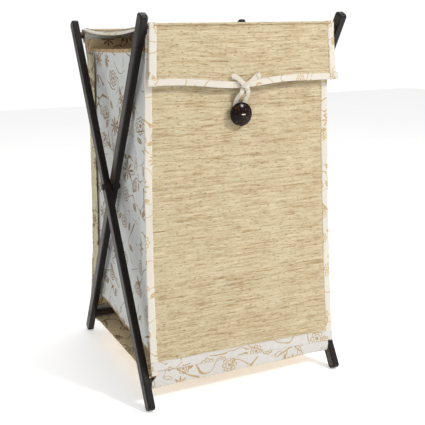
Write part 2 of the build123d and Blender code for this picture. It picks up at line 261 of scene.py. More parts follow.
def straw(name, surface, length, columns, material, relief=0.00055):
    """A mat of straw strands: surface(u, v) gives the smooth outer face, v from 0 to 1 across the strands."""
    rows = int(length / STRAND)
    samples = 3
    u = np.linspace(0, 1, columns)
    across = np.arange(rows * samples + 1) / samples
    row = np.minimum(across.astype(int), rows - 1)
    part = np.rint((across - row) * samples).astype(int) % samples
    drift = wander(rows + 1, 9, columns, 0.22)
    drift[0] = 0
    drift[-1] = 0
    follow = drift[row] * (1 - (across - row))[:, None] + drift[np.minimum(row + 1, rows)] * (across - row)[:, None]
    v = np.clip((across[:, None] + follow * 0.8) / rows, 0, 1)
    v[0] = 0
    v[-1] = 1
    U = np.broadcast_to(u[None, :], v.shape)
    P = surface(U, v)
    n = normals_of(P)
    body = np.clip(0.72 + wander(rows, 14, columns, 0.3), 0.12, 1.5)
    shape = np.array([0.0, 1.0, 0.82])[part]
    lift = shape[:, None] * body[row] * relief
    P = P + n * lift[..., None]
    tone = np.clip(0.53 + wander(rows, 20, columns, 0.085) + rng.normal(0, 0.04, (rows, 1)), 0, 1)
    # painted shade: the valley between each pair of strands is made darker in tone
    tone = tone[row] - np.where(part == 0, 0.12, 0.0)[:, None]
    nu, nv = P.shape[:2]
    verts = np.concatenate([P.reshape(-1, 3), (P - n * (STRAW_T * 0.9)).reshape(-1, 3)])
    rim = rim_faces(nu, nv, nu * nv)
    used = np.unique(np.concatenate([rim.ravel(), np.arange(nu * nv)]))
    remap = -np.ones(len(verts), int)
    remap[used] = np.arange(len(used))
    faces = remap[np.concatenate([grid_faces(nu, nv), rim])]
    uv = np.concatenate([arc_uv(surface(U, v)).reshape(-1, 2)] * 2)[used]
    tones = np.concatenate([tone.ravel()] * 2)[used]
    return build(name, verts[used], faces, material, uv, tones, sharp=85)


# ---- materials
def new_material(name, rough, specular=0.5, sheen=0.0):
    m = bpy.data.materials.new(name)
    m.use_nodes = True
    b = m.node_tree.nodes["Principled BSDF"]
    b.inputs["Roughness"].default_value = rough
    b.inputs["Specular IOR Level"].default_value = specular
    b.inputs["Sheen Weight"].default_value = sheen
    return m, m.node_tree, b


class Graph:
    """Short-hand for node trees."""

    def __init__(self, tree):
        self.tree = tree

    def node(self, kind, **sets):
        n = self.tree.nodes.new(kind)
        for key, value in sets.items():
            setattr(n, key, value)
        return n

    def put(self, socket, value):
        if isinstance(value, bpy.types.NodeSocket):
            self.tree.links.new(value, socket)
        else:
            socket.default_value = value

    def math(self, op, a, b=0.0, clamp=False):
        n = self.node("ShaderNodeMath", operation=op, use_clamp=clamp)
        self.put(n.inputs[0], a)
        self.put(n.inputs[1], b)
        return n.outputs[0]

    def mul(self, a, b):
        return self.math("MULTIPLY", a, b)

    def add(self, a, b, clamp=False):
        return self.math("ADD", a, b, clamp)

    def sub(self, a, b):
        return self.math("SUBTRACT", a, b)

    def most(self, a, b):
        return self.math("MAXIMUM", a, b)

    def above(self, a, b):
        return self.math("GREATER_THAN", a, b)

    def below(self, a, b):
        return self.math("LESS_THAN", a, b)

    def size_of(self, a):
        return self.math("ABSOLUTE", a)

    def step(self, value, low, high):
        n = self.node("ShaderNodeMapRange", interpolation_type="SMOOTHSTEP")
        self.put(n.inputs["Value"], value)
        n.inputs["From Min"].default_value = low
        n.inputs["From Max"].default_value = high
        return n.outputs["Result"]

    def noise(self, vector, scale, detail=2.0, rough=0.5, dims="3D"):
        n = self.node("ShaderNodeTexNoise", noise_dimensions=dims)
        self.put(n.inputs["Vector"], vector)
        n.inputs["Scale"].default_value = scale
        n.inputs["Detail"].default_value = detail
        n.inputs["Roughness"].default_value = rough
        return n.outputs["Fac"]

    def mapping(self, vector, scale=(1, 1, 1), rotation=(0, 0, 0), location=(0, 0, 0)):
        n = self.node("ShaderNodeMapping")
        self.put(n.inputs["Vector"], vector)
        n.inputs["Scale"].default_value = scale
        n.inputs["Rotation"].default_value = rotation
        n.inputs["Location"].default_value = location
        return n.outputs[0]

    def mix(self, fac, a, b):
        n = self.node("ShaderNodeMix", data_type="RGBA")
        self.put(n.inputs["Factor"], fac)
        self.put(n.inputs[6], a)
        self.put(n.inputs[7], b)
        return n.outputs[2]

    def ramp(self, fac, stops):
        n = self.node("ShaderNodeValToRGB")
        self.put(n.inputs["Fac"], fac)
        while len(n.color_ramp.elements) < len(stops):
            n.color_ramp.elements.new(0.5)
        for e, (at, colour) in zip(n.color_ramp.elements, stops):
            e.position = at
            e.color = colour
        return n.outputs["Color"]

    def bump(self, height, strength, distance, normal=None):
        n = self.node("ShaderNodeBump")
        n.inputs["Strength"].default_value = strength
        n.inputs["Distance"].default_value = distance
        self.put(n.inputs["Height"], height)
        if normal is not None:
            self.put(n.inputs["Normal"], normal)
        return n.outputs["Normal"]

    def object_coords(self):
        return self.node("ShaderNodeTexCoord").outputs["Object"]

    def cloth_coords(self):
        return self.node("ShaderNodeUVMap", uv_map="cloth").outputs["UV"]


def srgb(r, g, b):
    conv = lambda c: c / 255 / 12.92 if c / 255 <= 0.04045 else ((c / 255 + 0.055) / 1.055) ** 2.4
    return (conv(r), conv(g), conv(b), 1.0)


def cells(g, uv, spacing, shift):
    """Scattered motif places: distance and angle from the nearest one, and its random numbers."""
    moved = g.mapping(uv, location=(shift, shift * 0.7, 0))
    v = g.node("ShaderNodeTexVoronoi", voronoi_dimensions="2D", feature="F1")
    g.put(v.inputs["Vector"], moved)
    v.inputs["Scale"].default_value = 1 / spacing
    v.inputs["Randomness"].default_value = 0.75
    away = g.node("ShaderNodeVectorMath", operation="SUBTRACT")
    g.put(away.inputs[0], moved)
    g.put(away.inputs[1], v.outputs["Position"])
    parts = g.node("ShaderNodeSeparateXYZ")
    g.put(parts.inputs[0], away.outputs[0])
    length = g.math("SQRT", g.add(g.math("POWER", g.size_of(parts.outputs[0]), 2.0),
                                  g.math("POWER", g.size_of(parts.outputs[1]), 2.0)))
    angle = g.math("ARCTAN2", parts.outputs[1], parts.outputs[0])
    rand = g.node("ShaderNodeSeparateColor")
    g.put(rand.inputs[0], v.outputs["Color"])
    return length, angle, rand.outputs, parts.outputs


def line(g, distance, width):
    """1 where distance is within width of zero, soft at the edge."""
    return g.sub(1.0, g.step(g.size_of(distance), width * 0.55, width * 1.2))


def plant_print(g, uv, size=1.0):
    """A sparse line-drawn plant print: flower heads, stars, leaves and thin stems, from 0 to 1."""
    r, a, rand, _ = cells(g, uv, 0.052 * size, 0.31)
    big = g.add(0.0085 * size, g.mul(rand[0], 0.0045 * size))
    petals = g.size_of(g.math("COSINE", g.mul(a, 4.0)))
    edge = g.mul(big, g.add(0.76, g.mul(petals, 0.24)))
    outline = line(g, g.sub(r, edge), 0.0010 * size)
    inner = line(g, g.sub(r, g.mul(edge, 0.60)), 0.0007 * size)
    veins = g.mul(g.above(0.3, petals), g.below(r, g.mul(edge, 0.95)))
    veins = g.mul(veins, g.above(r, g.mul(edge, 0.3)))
    eye = g.below(r, g.mul(big, 0.22))
    flower = g.most(g.most(outline, inner), g.most(g.mul(veins, 0.8), eye))
    flower = g.mul(flower, g.above(rand[1], 0.36))
    star_edge = g.mul(g.mul(big, 1.25), g.math("POWER", petals, 1.3))
    star = g.mul(g.below(r, star_edge), g.above(0.34, rand[1]))
    _, _, rand2, xy = cells(g, uv, 0.034 * size, 0.83)
    spin = g.mul(rand2[0], 6.283)
    lx = g.add(g.mul(xy[0], g.math("COSINE", spin)), g.mul(xy[1], g.math("SINE", spin)))
    ly = g.sub(g.mul(xy[1], g.math("COSINE", spin)), g.mul(xy[0], g.math("SINE", spin)))
    share = g.math("DIVIDE", lx, 0.0085 * size)
    half = g.mul(0.0036 * size, g.sub(1.0, g.mul(share, share)))
    blade = g.below(g.size_of(ly), half)
    rib = g.above(g.size_of(ly), 0.0003 * size)
    solid = g.mul(g.mul(blade, rib), g.above(rand2[1], 0.58))
    hollow = g.mul(line(g, g.sub(g.size_of(ly), half), 0.0008 * size),
                   g.above(0.22, rand2[1]))
    inside = g.below(g.size_of(share), 1.0)
    leaf = g.mul(g.most(solid, hollow), inside)
    wave = g.noise(uv, 19 / size, 0.5, 0.4, "2D")
    stem = line(g, g.sub(wave, 0.5), 0.0125)
    other_wave = g.noise(g.mapping(uv, location=(3.1, 1.7, 0)), 30 / size, 0.3, 0.4, "2D")
    curl = line(g, g.sub(other_wave, 0.56), 0.015)
    gate = g.noise(g.mapping(uv, location=(7.3, 2.1, 0)), 24 / size, 1.0, 0.5, "2D")
    stem = g.mul(stem, g.above(gate, 0.47))
    curl = g.mul(curl, g.above(0.46, gate))
    whole = g.most(g.most(flower, star), g.most(leaf, g.most(stem, curl)))
    return g.math("MINIMUM", whole, 1.0)


def weave_height(g, uv, pitch):
    """Plain weave: two crossing sets of threads."""
    parts = g.node("ShaderNodeSeparateXYZ")
    g.put(parts.inputs[0], uv)
    turn = 2 * math.pi / pitch
    a = g.math("SINE", g.mul(parts.outputs[0], turn))
    b = g.math("SINE", g.mul(parts.outputs[1], turn))
    return g.mul(g.add(g.mul(a, b), 1.0), 0.5)


def cotton(name, base, ink=None, strength=0.85, size=1.0):
    m, tree, b = new_material(name, 0.88, 0.25, 0.12)
    g = Graph(tree)
    uv = g.cloth_coords()
    dirt = g.noise(g.object_coords(), 9.0, 4.0, 0.6)
    colour = g.mix(g.step(dirt, 0.3, 0.75), tuple(c * 0.93 for c in base[:3]) + (1,), base)
    slub = g.noise(g.mapping(uv, scale=(1, 9, 1)), 260.0, 2.0, 0.6, "2D")
    colour = g.mix(g.mul(g.step(slub, 0.52, 0.8), 0.22), colour, tuple(c * 0.8 for c in base[:3]) + (1,))
    weave = weave_height(g, uv, 0.0009)
    colour = g.mix(g.mul(weave, 0.05), colour, tuple(c * 0.7 for c in base[:3]) + (1,))
    if ink is not None:
        fade = g.add(0.7, g.mul(g.noise(uv, 55.0, 3.0, 0.6, "2D"), 0.45), True)
        mask = g.mul(g.mul(plant_print(g, uv, size), fade), strength)
        colour = g.mix(mask, colour, ink)
    g.put(b.inputs["Base Color"], colour)
    crease = g.noise(g.mapping(uv, scale=(1.0, 0.4, 1)), 38.0, 3.0, 0.55, "2D")
    first = g.bump(crease, 0.28, 0.003)
    g.put(b.inputs["Normal"], g.bump(weave, 0.35, 0.00035, first))
    return m


BROWN = srgb(128, 92, 48)
cloth_side = cotton("cotton_side", srgb(203, 205, 202), srgb(128, 100, 56), 0.97, 1.25)
cloth_white = cotton("cotton_white", srgb(207, 204, 199), srgb(170, 138, 76), 0.95, 1.15)
cloth_bind = cotton("cotton_binding", srgb(214, 208, 196), srgb(180, 146, 84), 0.9, 0.95)
# painted shade: the lining's warm tan stands for the shade inside the bag, warmed by light through the straw
cloth_inside_warm_shade = cotton("cotton_inside_warm_shade", srgb(242, 218, 176), BROWN, 0.95, 1.2)
# painted shade: the darker olive cloth and print stand for the shade inside the rear corner, warmed by light through
# the straw
cloth_corner_shade = cotton("cotton_rear_corner_shade", srgb(194, 186, 152), srgb(104, 74, 36), 0.97, 1.1)
cloth_hem = cotton("cotton_side_hem", srgb(178, 150, 110), BROWN, 0.8, 0.5)
cloth_tape = cotton("cotton_tape_mat", srgb(208, 202, 188), srgb(186, 152, 100), 0.6, 0.5)

thread, tree, b = new_material("sewing_thread", 0.7, 0.3, 0.1)
g = Graph(tree)
fibre = g.noise(g.object_coords(), 1600.0, 2.0)
g.put(b.inputs["Base Color"], g.mix(fibre, srgb(226, 216, 196), srgb(246, 242, 232)))
g.put(b.inputs["Normal"], g.bump(g.noise(g.object_coords(), 2600.0, 1.0), 0.4, 0.0002))

straw_mat, tree, b = new_material("straw", 0.62, 0.35, 0.05)
g = Graph(tree)
uv = g.cloth_coords()
tone = g.node("ShaderNodeAttribute", attribute_name="tone").outputs["Fac"]
long_fibre = g.noise(g.mapping(uv, scale=(1, 0.055, 1)), 1900.0, 3.0, 0.7, "2D")
streak = g.noise(g.mapping(uv, scale=(1, 0.10, 1)), 820.0, 4.0, 0.75, "2D")
value = g.add(tone, g.mul(g.sub(long_fibre, 0.5), 0.55))
value = g.add(value, g.mul(g.sub(streak, 0.5), 0.46))
value = g.add(value, g.mul(g.sub(g.noise(uv, 14.0, 2.0, 0.5, "2D"), 0.5), 0.14), True)
colour = g.ramp(value, [
    (0.0, srgb(118, 88, 54)), (0.28, srgb(162, 139, 100)), (0.46, srgb(188, 172, 138)),
    (0.64, srgb(200, 186, 154)), (1.0, srgb(218, 202, 164))])
fleck = g.noise(g.mapping(uv, scale=(1, 0.17, 1), location=(5.2, 8.8, 0)), 640.0, 2.0, 0.6, "2D")
grey = g.noise(g.mapping(uv, scale=(1, 0.2, 1), location=(1.2, 3.3, 0)), 300.0, 2.0, 0.6, "2D")
colour = g.mix(g.mul(g.step(grey, 0.60, 0.72), 0.4), colour, srgb(164, 152, 130))
colour = g.mix(g.mul(g.step(fleck, 0.64, 0.70), 0.8), colour, srgb(112, 80, 48))
g.put(b.inputs["Base Color"], colour)
g.put(b.inputs["Normal"], g.bump(long_fibre, 0.55, 0.0006))


def dark_wood(name, turn):
    """Stained and lacquered wood, grain along Z turned about X by the given angle."""
    m, tree, b = new_material(name, 0.34, 0.24)
    b.inputs["Coat Weight"].default_value = 0.08
    b.inputs["Coat Roughness"].default_value = 0.2
    g = Graph(tree)
    if turn is None:
        where = g.mapping(g.object_coords(), scale=(0.05, 1, 1))
    else:
        level = g.mapping(g.object_coords(), rotation=(turn, 0, 0))
        where = g.mapping(level, scale=(1, 1, 0.05))
    grain = g.noise(where, 340.0, 4.0, 0.65)
    broad = g.noise(where, 90.0, 3.0, 0.6)
    colour = g.mix(g.step(broad, 0.35, 0.7), srgb(9, 6, 5), srgb(22, 14, 12))
    colour = g.mix(g.mul(g.step(grain, 0.66, 0.76), 0.75), colour, srgb(98, 58, 40))
    # lighter brown colour on convex edges
    convex_edges = g.node("ShaderNodeNewGeometry").outputs["Pointiness"]
    colour = g.mix(g.mul(g.step(convex_edges, 0.53, 0.62), 0.4), colour, srgb(104, 84, 68))
    g.put(b.inputs["Base Color"], colour)
    rough = g.add(0.27, g.mul(g.noise(g.object_coords(), 60.0, 3.0), 0.22))
    g.put(b.inputs["Roughness"], rough)
    g.put(b.inputs["Normal"], g.bump(grain, 0.3, 0.0006))
    return m


TILT = math.atan2(abs(LOW_Y) + abs(TOP_Y), TOP_Z - LOW_Z)
wood_a = dark_wood("dark_wood_a", -TILT)
wood_b = dark_wood("dark_wood_b", TILT)
wood_x = dark_wood("dark_wood_rail", None)

metal, tree, b = new_material("dark_metal_finish", 0.38, 0.5)
b.inputs["Metallic"].default_value = 0.6
g = Graph(tree)
patina = g.step(g.noise(g.object_coords(), 420.0, 3.0), 0.45, 0.7)
g.put(b.inputs["Base Color"], g.mix(patina, srgb(34, 31, 30), srgb(58, 52, 48)))
g.put(b.inputs["Normal"], g.bump(g.noise(g.object_coords(), 900.0, 2.0), 0.15, 0.0003))

coconut, tree, b = new_material("coconut_shell", 0.18, 0.12)
b.inputs["Coat Weight"].default_value = 0.05
b.inputs["Coat Roughness"].default_value = 0.12
g = Graph(tree)
where = g.mapping(g.object_coords(), rotation=(0, 0.7, 0), scale=(1, 1, 0.22))
fleck = g.noise(where, 520.0, 3.0, 0.7)
colour = g.mix(g.step(g.noise(where, 160.0, 3.0), 0.35, 0.7), srgb(9, 4, 3), srgb(26, 12, 8))
colour = g.mix(g.step(fleck, 0.58, 0.68), colour, srgb(116, 74, 48))
g.put(b.inputs["Base Color"], colour)
g.put(b.inputs["Normal"], g.bump(fleck, 0.2, 0.0003))

for name, obj in NODES.items():
    if name.startswith("leg_a") or name == "rail_plugs_a":
        chosen = wood_a
    elif name.startswith("leg_b") or name == "rail_plugs_b":
        chosen = wood_b
    elif name.endswith("_rail_front") or name.endswith("_rail_rear"):
        chosen = wood_x
    elif name.startswith("pivot") or name.startswith("rail_screws"):
        chosen = metal
    elif name == "button":
        chosen = coconut
    elif name.startswith("button_"):
        chosen = thread
    else:
        continue
    obj.data.materials.clear()
    obj.data.materials.append(chosen)


# ---- placing pieces
LID_KEEP = 0.175
# squash anchors for the lid pieces: the rear rail for the lid, the flap's crease for the left strip,
# which slides to the rear with the fold; settle does not apply them
LID_ANCHOR_Y = {"lid": -TOP_Y, "lid_edge": FRONT_HINGE.y}
LID_STRIP_BODY = {"left": "lid_edge", "right": "lid"}
SIDE_KEEP = 0.14
BASE_KEEP = 0.137
FRONT_NORMAL = unit([0, 1, -SLOPE])


SIDE_SQUASH = {"axis": tuple(FRONT_NORMAL), "anchor": (0, float(panel_y(0.35)), 0.35), "keep": SIDE_KEEP}
BASE_SQUASH = {"axis": (0, 1, 0), "anchor": (0, LOW_Y, 0.036), "keep": BASE_KEEP}


def settle(piece, body, slot, *replaced, squash=None):
    """Attach the piece to its body and hide the CAD nodes it replaces; slot is not used, and squash only gives the
    piece its own mesh data.
    """
    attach(piece, body)
    if replaced:
        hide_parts(*replaced)
    if body in LID_ANCHOR_Y:
        squash = {"axis": (0, 1, 0), "anchor": (0, LID_ANCHOR_Y[body], TOP_Z), "keep": LID_KEEP}
    if squash:
        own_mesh(piece)
    return piece


# ---- hanging panels
# each table gives (height, x) down one edge of a hanging panel
LEFT_EDGE = ((0.052, -0.1945), (0.11, -0.1965), (0.24, -0.1970), (0.38, -0.1935),
             (0.50, -0.1885), (0.58, -0.1850), (0.625, -0.1805), (0.66, -0.1795))
BACK_LEFT_EDGE = ((0.052, 0.1885), (0.10, 0.1850), (0.20, 0.1800), (0.34, 0.1775),
                  (0.50, 0.1775), (0.58, 0.1800), (0.625, 0.1840), (0.66, 0.1880))
RIGHT_EDGE = ((0.052, 0.1885), (0.10, 0.1865), (0.18, 0.1845), (0.30, 0.1815),
              (0.45, 0.1795), (0.62, 0.1795), (0.66, 0.1795))


def edge_x(table, z):
    zs = np.array([t[0] for t in table])
    xs = np.array([t[1] for t in table])
    near = np.interp(z, zs, xs)
    return (near * 2 + np.interp(z - 0.02, zs, xs) + np.interp(z + 0.02, zs, xs)) / 4


def panel_out(x, z):
    """How far the outer face of the front panel stands outside the lining's inner face."""
    puff = 0.0012 * np.sin(x * 17 + z * 9) * np.sin(z * 11 + 0.6) + 0.0008 * np.sin(x * 41 - z * 23)
    calm = np.clip((0.655 - z) / 0.06, 0, 1) * np.clip((z - 0.045) / 0.03, 0.2, 1)
    return LINING_T + STRAW_T * 0.8 + np.abs(puff) * calm


def front_point(x, z):
    return np.stack(np.broadcast_arrays(x, panel_y(z) - panel_out(x, z), z), -1)


def mat_surface(z0, z1, right_edge):
    def at(u, v):
        z = z0 + (z1 - z0) * v
        left = edge_x(LEFT_EDGE, z) + MAT_INSET
        right = edge_x(right_edge, z) - MAT_INSET
        x = left + (right - left) * u
        return front_point(x, z)
    return at


def hem_z(x):
    """Lower edge of the straw: a little higher on the left, as the panel hangs."""
    return MAT_LOW + 0.004 - 0.014 * (x + 0.19) / 0.38 * 0.5


def place_side(points, turned):
    return points * HALF_TURN if turned else points


def hanging_panel(side):
    turned = side == "back"
    body = "bag_" + side
    right_edge = BACK_LEFT_EDGE if turned else RIGHT_EDGE
    names = {"left": "right", "right": "left"} if turned else {"left": "left", "right": "right"}
    raw = mat_surface(MAT_LOW - 0.006, PANEL_TOP + 0.002, right_edge)
    surface = lambda u, v: place_side(raw(u, v), turned)
    mat = straw(side + "_straw", lambda u, v: surface(1 - u, v), PANEL_TOP - MAT_LOW + 0.008, MAT_COLUMNS, straw_mat)
    settle(mat, body, "woven_straw", side + "_mat")
    z = np.linspace(PANEL_LOW + 0.004, PANEL_TOP + 0.003, 150)
    for hand, table, sign in (("left", LEFT_EDGE, 1), ("right", right_edge, -1)):
        x = edge_x(table, z) + sign * BIND_W / 2
        centre = front_point(x, z) + np.array([0, 0.0004, 0])
        across = same_for(centre, (1.0, 0, 0))
        out = same_for(centre, -FRONT_NORMAL)
        pucker = 1 + 0.05 * np.sin(z * 2 * math.pi / 0.011) + 0.06 * np.sin(z * 31)
        half_t = BIND_HALF_T * pucker
        strip = loft("%s_binding_cloth_%s" % (side, names[hand]), place_side(centre, turned),
                     place_side(across, turned), place_side(out, turned), BIND_W / 2 + 0.0003 * np.sin(z * 90),
                     half_t, cloth_bind, BIND_AROUND, BIND_SQUARENESS, (0.11 * (sign + 2), 0.2 if turned else 0.0))
        settle(strip, body, "printed_cotton", "%s_binding_%s" % (side, names[hand]))
        seam = front_point(x + sign * STITCH_INSET, z)[2:-2] + np.array([0, -0.0015, 0])
        row = stitch_row("%s_binding_stitches_%s" % (side, names[hand]), place_side(seam, turned),
                         place_side(out, turned)[2:-2], thread)
        settle(row, body, "thread")
    u = np.linspace(-1, 1, 160)
    v = np.linspace(0, 1, 12)
    U, V = grid_of(u, v)
    low = PANEL_LOW + 0.0110 - 0.0050 * (U + 1) + 0.0006 * np.sin(U * 5)
    high = hem_z(U * 0.19) + 0.002
    z = low + (high - low) * V
    x = np.where(U < 0, -U * edge_x(LEFT_EDGE, z), U * edge_x(right_edge, z))
    roll = 0.0018 * np.sqrt(np.clip(1 - (2 * V - 1) ** 8, 0, 1)) + 0.0004 * np.sin(U * 70) * np.sin(V * 3.1)
    P = front_point(x, z)
    P[..., 1] -= roll + 0.0006
    hem = sheet(side + "_hem_cloth", place_side(P, turned), 0.0022, cloth_white, (0.7, 0.35))
    settle(hem, body, "printed_cotton", side + "_hem")
    for k, level in enumerate((0.14, 0.9)):
        zz = (low + (high - low) * level)[:, 0]
        xx = np.where(u < 0, -u * edge_x(LEFT_EDGE, zz), u * edge_x(right_edge, zz))
        line_p = front_point(xx, zz)[4:-4] + np.array([0, -0.0026, 0])
        facing = same_for(line_p, -FRONT_NORMAL)
        row = stitch_row("%s_hem_stitches_%d" % (side, k), place_side(line_p, turned),
                         place_side(facing, turned), thread)
        settle(row, body, "thread")
    u = np.linspace(0, 1, 60)
    z = np.linspace(PANEL_LOW + 0.002, PANEL_TOP + 0.004, 90)
    U, Z = grid_of(u, z)
    left = edge_x(LEFT_EDGE, Z) + 0.002
    right = edge_x(right_edge, Z) - 0.002
    X = left + (right - left) * U
    calm = np.clip((PANEL_TOP - Z) / 0.05, 0, 1)
    Y = panel_y(Z) + 0.0008 + 0.0010 * np.sin(X * 33 + Z * 12) * np.sin(Z * 19 + 1) * calm
    Y = np.minimum(Y, panel_y(Z) + 0.0022)
    P = np.stack([X, Y, Z], -1)[:, ::-1]
    lining = sheet(side + "_lining_cloth", place_side(P, turned), LINING_CLOTH_T, cloth_inside_warm_shade, (0.2, 0.1))
    settle(lining, body, "lining_cotton", side + "_lining")


hanging_panel("front")
hanging_panel("back")


def rail_sleeve(side):
    """The cloth pocket round a top rail, with its sewn seam below the rail."""
    turned = side == "back"
    n, m = 90, 40
    x = np.linspace(-0.1795, 0.1880 if turned else 0.1795, n)
    a = np.linspace(math.radians(-60), math.radians(255), m)
    X, A = grid_of(x, a)
    r = 0.0079 + 0.0004 * np.sin(X * 60 + A * 2) + 0.0002 * np.sin(X * 170)
    P = np.stack([X, TOP_Y + r * np.cos(A), TOP_Z + r * np.sin(A)], -1)
    piece = sheet(side + "_sleeve_cloth", place_side(P, turned), 0.0009, cloth_white, (0.4, 0.9))
    settle(piece, "bag_" + side, "lining_cotton", side + "_sleeve")


rail_sleeve("front")
rail_sleeve("back")


def skirt(side):
    """Cloth that comes down behind the panel, round the front of the bottom rail and under it."""
    turned = side == "back"
    inner = LOW_Y - 0.0069
    path = [(panel_y(0.152) + 0.0018, 0.152), (panel_y(0.10) + 0.0016, 0.10), (panel_y(0.080) + 0.0008, 0.080),
            (panel_y(0.066) - 0.0024, 0.066), (panel_y(0.055) - 0.0028, 0.055), (inner - 0.0028, 0.0450),
            (inner - 0.0014, 0.0375), (inner + 0.0018, 0.0335), (inner + 0.0080, 0.0322), (inner + 0.0280, 0.0326)]
    line_p = smooth_path([(0, y, z) for y, z in path], 60)
    u = np.linspace(-1, 1, 140)
    n = len(line_p)
    y = np.broadcast_to(line_p[None, :, 1], (len(u), n))
    z = np.broadcast_to(line_p[None, :, 2], (len(u), n)).copy()
    blend_w = np.clip((z - 0.048) / 0.02, 0, 1)
    left = -0.1945 * (1 - blend_w) - 0.178 * blend_w
    right = 0.1812 * (1 - blend_w) + 0.178 * blend_w
    x = np.where(u[:, None] < 0, -u[:, None] * left, u[:, None] * right)
    z = z + 0.0006 * np.sin(u[:, None] * 9 + 1) * (z < 0.06)
    P = np.stack([x, y, z], -1)[::-1]
    piece = sheet(side + "_skirt_cloth", place_side(P, turned), PRINTED_CLOTH_T, cloth_white, (0.05, 0.02))
    settle(piece, "skirt_" + side, "printed_cotton", side + "_skirt")


skirt("front")
skirt("back")

# base cloth between the two bottom rails
u = np.linspace(-0.1805, 0.1805, 120)
v = np.linspace(LOW_Y + 0.001, -LOW_Y - 0.001, 120)
X, Y = grid_of(u, v)
Z = 0.0342 + 0.0012 * np.sin(X * 21 + Y * 9) * np.sin(Y * 17) + 0.0016 * (np.abs(X) / 0.18) ** 4
Z = np.clip(Z, 0.0330, 0.0368)
base = sheet("base_cloth", np.stack([X, Y, Z], -1), PRINTED_CLOTH_T, cloth_inside_warm_shade, (0.15, 0.4))
settle(base, "skirt_front", "lining_cotton", "base_panel", squash=BASE_SQUASH)


# ---- side panels
def side_low(y):
    return 0.0815 + 0.10 * np.clip(y + 0.03, 0, 1) - 0.02 * np.clip(-y - 0.1, 0, 1)


def side_top(y):
    return 0.6280 + 0.0022 * (y / 0.158) ** 2


def side_cloth(hand):
    sign = -1 if hand == "left" else 1
    s = np.linspace(-1, 1, 120)
    v = np.linspace(0, 1, 150)
    S, V = grid_of(s, v)
    y = S * (-panel_y(0.08 + 0.54 * V) - 0.0018)
    low = side_low(y)
    z = low + (side_top(y) - low) * V
    reach = -panel_y(z) - 0.0018
    y = S * reach
    # soft vertical folds, deeper towards the middle and the lower part
    fade = np.clip(1 - np.abs(S) ** 6, 0, 1)
    folds = 0.0030 * np.sin(y * 52 + 1.6 * np.sin(z * 6)) + 0.0016 * np.sin(y * 95 - z * 9 + 2)
    folds = folds * fade * (0.35 + 0.65 * np.sin(math.pi * np.clip(V, 0, 1)) ** 0.7)
    pull = -0.004 * fade * np.sin(math.pi * V)
    x = sign * np.clip(0.1752 + folds + pull, 0.160, 0.1806)
    P = np.stack([x, y, z], -1)
    if sign < 0:
        P = P[::-1]
    piece = sheet("side_cloth_" + hand, P, 0.0010, cloth_side, (0.37, 0.12) if sign < 0 else (1.2, 0.5))
    settle(piece, "bag_front", "printed_cotton", "side_panel_" + hand, squash=SIDE_SQUASH)
    for k, (level, half_h) in enumerate(((1.0, 0.0034), (0.0, 0.0018))):
        row = int(level * (len(v) - 1))
        centre = P[:, row].copy()
        centre[:, 2] += -half_h * 0.8 if level else half_h * 0.4
        along = unit(np.gradient(centre, axis=0))
        out = unit(np.stack([np.full(len(centre), sign), np.zeros(len(centre)), np.zeros(len(centre))], -1))
        across = unit(np.cross(out, along))
        centre = centre - out * 0.0004
        band = loft("side_hem_cloth_%s_%d" % (hand, k), centre, across, out, half_h, 0.0013, cloth_hem,
                    14, 3.5, (0.3, 0.1))
        stands_for = ("side_hem_" + hand,) if level else ()
        settle(band, "bag_front", "printed_cotton", *stands_for, squash=SIDE_SQUASH)


def rear_corner(hand):
    """The turned-back edge of the side cloth at the rear corner, with painted shade: darker, olive cloth and print.
    """
    sign = -1 if hand == "left" else 1
    z = np.linspace(0.088, 0.618, 110)
    s = np.linspace(0, 1, 16)
    S, Z = grid_of(s, z)
    reach = -panel_y(Z) - 0.0010
    y = reach - 0.032 + 0.032 * S + 0.002 * np.sin(Z * 18) * (1 - S)
    x = sign * (0.1790 + 0.0012 * np.sin(Z * 13 + S) * np.sin(math.pi * S) + 0.0012 * S)
    P = np.stack([x, y, Z], -1)
    piece = sheet("rear_corner_cloth_" + hand, P if sign > 0 else P[::-1], 0.0009, cloth_corner_shade,
                  (0.6, 0.15 + 0.2 * sign))
    settle(piece, "bag_front", "printed_cotton", squash=SIDE_SQUASH)


side_cloth("left")
side_cloth("right")
rear_corner("left")
rear_corner("right")

# ---- lid
LID_TOP = LID_HIGH.z


def lid_left(y):
    return -0.1797 - 0.0085 * np.clip((y - 0.02) / 0.145, 0, 1) ** 2


def lid_right(y):
    t = np.clip((-TOP_Y - y) / (2 * -TOP_Y), 0, 1)
    return 0.1800 + 0.0030 * t ** 2


def lid_z(x, y, droop=1.0):
    """Top face of the lid: hung between the rails, edges drooping a little more."""
    span = np.clip(1 - ((y + 0.002) / 0.163) ** 2, 0, 1)
    sag = 0.0048 * span + 0.0007 * np.sin(x * 25 + 1) * span
    near = np.clip((np.abs(x) - 0.155) / 0.026, 0, 1) ** 2
    return LID_TOP + LID_RISE - sag - near * span * 0.0055 * droop


def knuckle(centre, ry, rz, sign, count):
    """Quarter round from the top towards the front or the rear."""
    a = np.linspace(math.radians(90), 0, count)
    return np.stack([np.zeros(count), centre.y + sign * ry * np.cos(a), centre.z + rz * np.sin(a)], -1)


def lid_line(u_count):
    rear = knuckle(REAR_HINGE, 0.0044, LID_TOP + LID_RISE - REAR_HINGE.z, 1, 7)[::-1]
    front = knuckle(FRONT_HINGE, 0.0050, LID_TOP + LID_RISE - FRONT_HINGE.z, -1, 7)
    flat = np.stack([np.zeros(u_count), np.linspace(REAR_HINGE.y, FRONT_HINGE.y, u_count), np.zeros(u_count)], -1)
    return rear, flat, front


